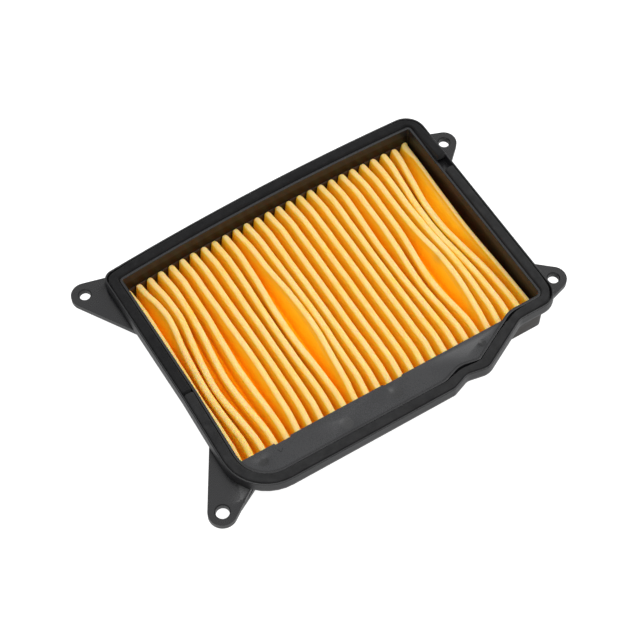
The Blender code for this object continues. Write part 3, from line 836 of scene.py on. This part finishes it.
def last_edge_x(y, back_y):
    """X of the last crest's centre line: hollow in the middle, hooked outwards at both ends."""
    end = min(back_y - y, y - PAPER_FRONT_Y)
    hollow = LAST_HOLLOW * math.exp(-((y - LAST_HOLLOW_Y) / LAST_HOLLOW_SPREAD) ** 2)
    hook = LAST_HOOK * smooth_share(1.0 - end / HOOK_LENGTH)
    return LAST_EDGE_X - last_half_width(y, back_y) - hollow + hook


def crest_places(share):
    """Crest centre lines at one share of the way from the front edge to the back edge."""
    places = []
    for pleat in range(PLEATS):
        x = FIRST_CREST_X + pleat * PLEAT_PITCH
        back_y = paper_back_y(x)
        y = PAPER_FRONT_Y + (back_y - PAPER_FRONT_Y) * share
        if pleat == PLEATS - 1:
            x = last_edge_x(y, back_y)
        places.append(Vector((x + crest_shift(pleat, y, back_y), y)))
    return places


def arc_points(centre_x, half, edge_z, depth, upwards, steps):
    """Half a squarish ellipse from left to right, bulging up or down from edge_z."""
    sign = 1.0 if upwards else -1.0
    points = []
    for step in range(steps + 1):
        angle = math.pi * (1.0 - step / steps)
        across = math.copysign(abs(math.cos(angle)) ** FOLD_SQUARENESS, math.cos(angle))
        points.append((centre_x + across * half,
                       edge_z + sign * depth * abs(math.sin(angle)) ** FOLD_SQUARENESS))
    return points


def tip_factor(distance, length):
    """Quarter-ellipse profile: 0 at the very end, 1 from the given length on."""
    inner = min(1.0, max(0.0, distance / length))
    return math.sqrt(1.0 - (1.0 - inner) ** 2)


def pinched(least, tip):
    """Share of a width that is left where the tip factor is 0 (least) to 1 (all of it)."""
    return least + (1.0 - least) * tip


def hollow_flank(start, end):
    """Points of the last pleat's wide, softly creased flank."""
    points = []
    for step in range(1, FLANK_STEPS):
        share = step / FLANK_STEPS
        place = start.lerp(end, share)
        crease = noise.noise(Vector((place.x * 0.30, place.y * 0.11, 4.0)))
        place.z = start.z + (end.z - start.z) * share ** FLANK_BULGE
        place.z += LAST_CREASE * crease * math.sin(math.pi * share)
        points.append(place)
    return points


def pleat_row(share):
    """The folded line of the paper across the whole pack, as (x, y, z).

    At both ends a flap runs down to the foot of the side wall, where it is sealed.
    """
    crests = crest_places(share)
    depth = paper_back_y(0.0) - PAPER_FRONT_Y
    back_tip = tip_factor((1.0 - share) * depth, TIP_LENGTH)
    front_tip = tip_factor(share * depth, FRONT_TIP_LENGTH)
    pinch = pinched(TIP_PINCH, back_tip) * pinched(FRONT_PINCH, front_tip)
    dip = TIP_DIP * (1.0 - back_tip) + FRONT_DIP * (1.0 - front_tip)
    foot = VALLEY_BOTTOM_Z + PAPER
    line = [Vector((left_x(crests[0].y) + OPENING_INSET + PAPER, crests[0].y, foot))]
    for pleat, crest in enumerate(crests):
        last = pleat == PLEATS - 1
        half = (CREST_HALF_WIDTH - PAPER / 2.0) * pinch
        uneven = noise.noise(Vector((pleat * 2.3, crest.y * 0.04, 9.0)))
        top = CREST_TOP_Z - PAPER / 2.0 + CREST_UNEVENNESS * uneven
        if last:
            half = last_half_width(crest.y, paper_back_y(crest.x)) * pinched(LAST_PINCH, back_tip)
            top += LAST_FRONT_LIFT * (1.0 - front_tip)
        else:
            top -= dip
        wall_x = left_x(crest.y) + OPENING_INSET + PAPER
        fold = arc_points(crest.x, half, top - FOLD_RISE, FOLD_RISE, True, 8)
        if last:
            line += hollow_flank(line[-1], Vector((fold[0][0], crest.y, fold[0][1])))
        line += [Vector((max(x, wall_x), crest.y, z)) for x, z in fold]
        if last:
            break
        after = crests[pleat + 1]
        half_gap = max(0.5, PLEAT_PITCH / 2.0 - CREST_HALF_WIDTH - 0.3)
        if pleat == PLEATS - 2:
            middle = crest.x + CREST_HALF_WIDTH + half_gap
        else:
            even = FIRST_CREST_X + (pleat + 0.5) * PLEAT_PITCH
            middle = even + VALLEY_FOLLOWS * ((crest.x + after.x) / 2.0 - even)
        y = (crest.y + after.y) / 2.0
        floor = VALLEY_BOTTOM_Z + PAPER / 2.0
        for x, z in arc_points(middle, half_gap, floor + FOLD_RISE, FOLD_RISE, False, 8):
            line.append(Vector((x, y, z)))
    line.append(Vector((RIGHT_X - OPENING_INSET - PAPER, crests[-1].y, foot)))
    return line


def row_shares():
    """Where along the pleats the rows of the mesh lie: even, and closer at the two ends."""
    ends = (0.0, 0.0025, 0.007, 0.013)
    even = [0.02 + 0.96 * row / PAPER_ROWS for row in range(PAPER_ROWS + 1)]
    return list(ends) + even + [1.0 - share for share in reversed(ends)]


def build_paper(material):
    """One sheet folded into pleats, with its real thickness."""
    bm = bmesh.new()
    rows = [refine(pleat_row(share)) for share in row_shares()]
    over, under = [], []
    for line in rows:
        upper, lower = [], []
        for index, point in enumerate(line):
            before = line[max(index - 1, 0)]
            after = line[min(index + 1, len(line) - 1)]
            along = Vector((after.x - before.x, after.z - before.z)).normalized()
            offset = Vector((-along.y, 0.0, along.x)) * PAPER / 2.0
            upper.append(bm.verts.new(point + offset))
            lower.append(bm.verts.new(point - offset))
        over.append(upper)
        under.append(lower)
    rings = [upper + list(reversed(lower)) for upper, lower in zip(over, under)]
    half = len(rings[0]) // 2
    for here, there in zip(rings, rings[1:]):
        for column in range(len(here)):
            beside = (column + 1) % len(here)
            bm.faces.new((here[column], here[beside], there[beside], there[column]))
    for ring, flip in ((rings[0], False), (rings[-1], True)):
        for column in range(half - 1):
            opposite = len(ring) - 1 - column
            quad = (ring[column], ring[opposite], ring[opposite - 1], ring[column + 1])
            bm.faces.new(tuple(reversed(quad)) if flip else quad)
    return make_piece(bm, "paper_pack", material, ("pleated_paper",), 75.0)


def refine(line):
    """Cut the long flanks of a folded line into shorter pieces."""
    fine = [line[0]]
    for point in line[1:]:
        last = fine[-1]
        pieces = 4 if abs(point.z - last.z) > 3.0 else 1
        for piece in range(1, pieces + 1):
            fine.append(last.lerp(point, piece / pieces))
    return fine


# ---- glue

BACK_GLUE_TOP_Z = -13.4             # the back bead closes the pleat ends almost to their tops


def build_glue(material):
    """Uneven beads along the four edges of the paper, each for its own CAD node."""
    right = RIGHT_X - OPENING_INSET
    left = left_x(0.0) + OPENING_INSET
    front = BOX_FRONT_Y
    runs = {
        "back": [Vector((x, bow_y(x) - OPENING_INSET)) for x in spaced(right - 1.0, left + 1.0, 90)],
        "front": [Vector((x, front)) for x in spaced(left + 1.0, right - 1.0, 90)],
        "left": [Vector((left_x(y) + OPENING_INSET, y)) for y in spaced(70.0, front + 1.0, 60)],
        "right": [Vector((right, y)) for y in spaced(front + 1.0, 74.0, 60)],
    }
    for side, path in runs.items():
        bm = bmesh.new()
        rings = []
        for index, point in enumerate(path):
            along = (path[min(index + 1, len(path) - 1)] - path[max(index - 1, 0)]).normalized()
            inwards = left_of(along)
            swell = 1.0 + 0.35 * noise.noise(Vector((point.x * 0.15, point.y * 0.15, 5.0)))
            low = BOX_BOTTOM_Z + LEDGE_DEPTH
            ring = []
            climb = [(0.45, BACK_GLUE_TOP_Z), (-0.2, BACK_GLUE_TOP_Z + 0.3)] if side == "back" else []
            for depth, z in [(-0.2, low), (1.3 * swell, low), (1.1 * swell, low + 2.6 * swell),
                             (0.6 * swell, low + 5.4 * swell)] + (climb or [(-0.2, low + 7.2 * swell)]):
                place = point + inwards * depth
                ring.append(bm.verts.new((place.x, place.y, z)))
            rings.append(ring)
        skin(bm, rings, closed=False)
        make_piece(bm, "glue_bead_" + side, material, ("glue_" + side,), 80.0)


def spaced(start, end, steps):
    """Evenly spaced numbers from start to end."""
    return [start + (end - start) * step / steps for step in range(steps + 1)]


# ---- foam seals

# Places where a strip stands away from one side of its groove: x, y, reach, outer gap, inner gap
FOAM_GAPS = (
    (20.0, 83.0, 60.0, -0.1, 0.5),
    (-97.0, 80.0, 9.0, 1.1, 0.0),
    (35.0, -72.0, 7.0, -0.2, 1.3),
    (73.0, -58.0, 6.0, -0.2, 1.2),
    (99.5, -56.0, 9.0, 1.0, 0.0),
    (99.0, 80.0, 9.0, 0.4, 1.2),
)


def foam_edge_shift(point, outer_side):
    """Extra distance between the foam and one side of the groove at a place."""
    shift = 0.0
    for x, y, reach, outer_gap, inner_gap in FOAM_GAPS:
        distance = (point - Vector((x, y))).length / reach
        shift += (outer_gap if outer_side else inner_gap) * math.exp(-distance * distance)
    return shift


def foam_section():
    """Section of a strip: (share across the groove, z), with soft top edges."""
    corners = round_section((
        (0.0, FOAM_BOTTOM_Z, 0.0),
        (0.0, FOAM_TOP_Z, 1.0),
        (CHANNEL - LIP - 2.0 * FOAM_SIDE_GAP, FOAM_TOP_Z, 1.0),
        (CHANNEL - LIP - 2.0 * FOAM_SIDE_GAP, FOAM_BOTTOM_Z, 0.0),
    ), 5)
    width = CHANNEL - LIP - 2.0 * FOAM_SIDE_GAP
    section = []
    for index, point in enumerate(corners):
        section.append((point.x / width, point.y))
        after = corners[(index + 1) % len(corners)]
        if abs(after.x - point.x) > 2.0:
            for cut in (0.2, 0.4, 0.6, 0.8):
                middle = point.lerp(after, cut)
                section.append((middle.x / width, middle.y))
    return section


def foam_rings(first, last, start_trim, end_trim, lifted):
    """Rings of (x, y, z) along the groove between two outline indices."""
    outer = dense_outline(rim_corners(), LIP + FOAM_SIDE_GAP)
    inner = dense_outline(rim_corners(), CHANNEL - FOAM_SIDE_GAP)
    count = len(outer)
    order = [(first + step) % count for step in range((last - first) % count + 1)]
    travelled = [0.0]
    for here, there in zip(order, order[1:]):
        travelled.append(travelled[-1] + (outer[there] - outer[here]).length)
    rings = []
    for index, distance in zip(order, travelled):
        if distance < start_trim or distance > travelled[-1] - end_trim:
            continue
        across = (inner[index] - outer[index]).normalized()
        near = outer[index] + across * foam_edge_shift(outer[index], True)
        far = inner[index] - across * foam_edge_shift(outer[index], False)
        rise = FOAM_LIFT * smooth_share(1.0 - distance / FOAM_LIFT_LENGTH) if lifted else 0.0
        ring = []
        for share, z in foam_section():
            place = near.lerp(far, share)
            top = max(0.0, (z - FOAM_BOTTOM_Z) / (FOAM_TOP_Z - FOAM_BOTTOM_Z))
            wave = 0.12 * noise.noise(Vector((place.x * 0.2, place.y * 0.2, share))) * top
            ring.append(Vector((place.x, place.y, z + wave + rise)))
        rings.append(ring)
    return rings


def nearest_index(points, target):
    """Index of the outline point closest to a place."""
    return min(range(len(points)), key=lambda index: (points[index] - target).length)


def round_end(rings, reach, at_start):
    """Close a strip's end with a few shrinking rings, so that it looks cut but soft."""
    ring = rings[0] if at_start else rings[-1]
    beside = rings[1] if at_start else rings[-2]
    centre = sum(ring, Vector()) / len(ring)
    outwards = (centre - sum(beside, Vector()) / len(beside)).normalized()
    extra = []
    for step in (1, 2, 3):
        angle = step / 3.0 * math.pi / 2.0
        shrink = 1.0 - 0.16 * (1.0 - math.cos(angle))
        extra.append([centre + (point - centre) * shrink + outwards * reach * math.sin(angle)
                      for point in ring])
    return list(reversed(extra)) + rings if at_start else rings + extra


def build_foam(name, node, first, last, trims, lifted, material):
    """One foam strip."""
    rings = foam_rings(first, last, trims[0], trims[1], lifted)
    rings = round_end(rings, 0.9, True)
    rings = round_end(rings, 0.4, False)
    bm = bmesh.new()
    skin(bm, [[bm.verts.new(point) for point in ring] for ring in rings], closed=False)
    strip = make_piece(bm, name, material, (node,), 60.0)
    return strip


def build_foams(dark, grey):
    """A long dark strip round the back and a shorter grey one round the front."""
    outline = dense_outline(rim_corners(), 0.0)
    left_seam = nearest_index(outline, Vector((LEFT_X_MIDDLE, LEFT_SEAM_Y)))
    right_seam = nearest_index(outline, Vector((RIGHT_X, RIGHT_SEAM_Y)))
    build_foam("seal_foam_back", "foam_strip_back", right_seam, left_seam, (0.5, 0.5), True, dark)
    build_foam("seal_foam_front", "foam_strip_front", left_seam, right_seam, (0.0, 3.0), False, grey)


# ---- stage

CAMERA_PLACE = (-0.2505, -0.3986, 0.7816)
CAMERA_TILT = 31.14                 # degrees away from looking straight down
CAMERA_TURN = -31.38                # degrees about the vertical
CAMERA_LENS = 95.625
CAMERA_SENSOR = 36.0
FLOOR_HALF_SIZE = 3.0               # metres, as is everything on the stage
FLOOR_GLOW = 0.95
SURROUNDINGS = 0.4
FLOOR_Z = -0.0003                   # a hair below the object's foot, so that the two never share a plane


# Soft boxes: name, place, side length, watts
SOFTBOXES = (
    ("softbox_back", (0.35, 0.60, 1.15), 1.2, 3.7),
    ("softbox_right", (0.75, -0.25, 1.10), 0.9, 9.0),
    ("softbox_front", (-0.20, -0.25, 1.40), 0.8, 8.0),
    ("softbox_left", (-0.85, -0.30, 1.00), 0.8, 3.0),
)


def add_camera():
    """Camera at the photograph's viewing angle."""
    data = bpy.data.cameras.new("camera")
    data.lens = CAMERA_LENS
    data.sensor_width = CAMERA_SENSOR
    data.clip_start = 0.01
    camera = bpy.data.objects.new("camera", data)
    camera.location = CAMERA_PLACE
    camera.rotation_euler = (math.radians(CAMERA_TILT), 0.0, math.radians(CAMERA_TURN))
    bpy.context.scene.collection.objects.link(camera)
    bpy.context.scene.camera = camera


def add_softbox(name, place, size, power):
    """A square area light that points at the object."""
    data = bpy.data.lights.new(name, "AREA")
    data.shape = "SQUARE"
    data.size = size
    data.energy = power
    lamp = bpy.data.objects.new(name, data)
    lamp.location = place
    towards = -Vector(place)
    lamp.rotation_euler = towards.to_track_quat("-Z", "Y").to_euler()
    bpy.context.scene.collection.objects.link(lamp)


def add_stage():
    """White floor, even white surroundings and soft boxes above."""
    bm = bmesh.new()
    bmesh.ops.create_grid(bm, x_segments=1, y_segments=1, size=FLOOR_HALF_SIZE)
    mesh = bpy.data.meshes.new("floor")
    bm.to_mesh(mesh)
    bm.free()
    nodes = Nodes("white_floor")
    nodes.set(base_color=(0.3, 0.3, 0.3, 1.0), roughness=0.9)
    nodes.shader.inputs["Specular IOR Level"].default_value = 0.0
    nodes.shader.inputs["Emission Color"].default_value = (1.0, 1.0, 1.0, 1.0)
    nodes.shader.inputs["Emission Strength"].default_value = FLOOR_GLOW
    mesh.materials.append(nodes.material)
    floor = bpy.data.objects.new("floor", mesh)
    bpy.context.scene.collection.objects.link(floor)
    floor.location.z = FLOOR_Z
    world = bpy.data.worlds.new("studio")
    world.use_nodes = True
    world.node_tree.nodes["Background"].inputs["Color"].default_value = (1.0, 1.0, 1.0, 1.0)
    world.node_tree.nodes["Background"].inputs["Strength"].default_value = SURROUNDINGS
    bpy.context.scene.world = world
    for name, place, size, power in SOFTBOXES:
        add_softbox(name, place, size, power)
    bpy.context.scene.view_settings.view_transform = "Standard"


# ---- assembly

def main():
    """Build every piece, then the stage."""
    plastic = plastic_material("moulded_black_plastic", (0.008, 0.008, 0.009), (0.012, 0.012, 0.013))
    build_rim(plastic)
    build_shelf(plastic_material("dusty_shelf_plastic", (0.017, 0.0175, 0.019),
                                 (0.023, 0.0235, 0.025), SHELF_SPOTS))
    build_box(inner_wall_material())
    build_ears(plastic)
    build_gusset(plastic)
    build_paper(paper_material())
    build_glue(glue_material())
    build_foams(foam_material("seal_foam_dark", (0.004, 0.004, 0.0045), (0.009, 0.009, 0.0095)),
                foam_material("seal_foam_grey", (0.011, 0.011, 0.0115), (0.021, 0.021, 0.0215)))
    add_camera()
    add_stage()


main()
